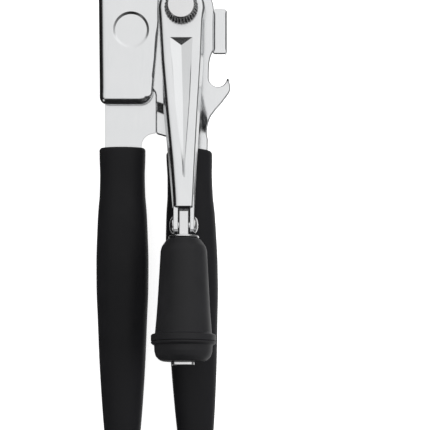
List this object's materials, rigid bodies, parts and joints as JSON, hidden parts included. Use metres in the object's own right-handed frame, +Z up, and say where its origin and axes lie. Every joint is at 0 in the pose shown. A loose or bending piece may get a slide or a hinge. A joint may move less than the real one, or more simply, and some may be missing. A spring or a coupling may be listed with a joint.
{
  "type": "manual can opener",
  "caption": "Two-handle manual can opener with a long crank, a folding knob, a bottle-opener hook and soft grips.",
  "frame": {"origin": "middle of the whole object's box, on the surface it rests on, lying on its back with the crank up", "axes": "+Y from the grips to the head, +X from the cutter's arm to the bottle hook, +Z up through the crank's shaft"},
  "size_m": [0.0582, 0.2248, 0.0535],
  "materials": {
    "satin_steel": "satin stamped steel",
    "hardware_steel": "bright turned steel",
    "hardened_steel": "ground hardened steel",
    "soft_grip": "matte soft touch",
    "black_plastic": "matte moulded"
  },
  "bodies": {
    "left_arm": {"left_arm": "satin_steel", "head_cover": "satin_steel", "left_grip": "soft_grip", "pivot_rivet": "hardware_steel", "pivot_washer": "hardware_steel", "cutter_stud": "hardware_steel", "cutter_washer": "hardware_steel"},
    "cutter": {"cutter_gear": "hardened_steel", "cutter_wheel": "hardened_steel"},
    "right_arm": {"right_arm": "satin_steel", "right_grip": "soft_grip", "drive_bushing": "hardware_steel"},
    "drive": {"drive_shaft": "hardware_steel", "drive_gear": "hardened_steel", "feed_wheel": "hardened_steel", "feed_nut": "hardware_steel", "crank_spacer": "hardware_steel", "crank_arm": "satin_steel", "crank_nut": "hardware_steel", "fold_pin": "hardware_steel"},
    "knob_link": {"knob_tang": "hardware_steel", "knob_ferrule": "hardware_steel", "knob_end_washer": "hardware_steel"},
    "knob": {"crank_knob": "black_plastic", "knob_end_cap": "black_plastic"}
  },
  "joints": [
    {"name": "handle_pivot", "type": "hinge", "parent": "left_arm", "child": "right_arm", "pos_m": [-0.00923, 0.10076, 0.0119], "axis": [0, 0, 1], "range_deg": [0, 30]},
    {"name": "crank_spin", "type": "hinge", "parent": "right_arm", "child": "drive", "pos_m": [0.0081, 0.0887, 0.012], "axis": [0, 0, 1], "continuous": true},
    {"name": "cutter_spin", "type": "hinge", "parent": "left_arm", "child": "cutter", "pos_m": [-0.0136, 0.0801, 0.005], "axis": [0, 0, 1], "continuous": true},
    {"name": "knob_fold", "type": "hinge", "parent": "drive", "child": "knob_link", "pos_m": [0.0095, -0.00364, 0.03196], "axis": [-1, 0, 0], "range_deg": [0, 90]},
    {"name": "knob_spin", "type": "hinge", "parent": "knob_link", "child": "knob", "pos_m": [0.0095, -0.00364, 0.03196], "axis": [0, -0.9848, 0.1736], "continuous": true}
  ],
  "couplings": [
    {"joint": "cutter_spin", "follows": "crank_spin", "ratio": -1}
  ]
}
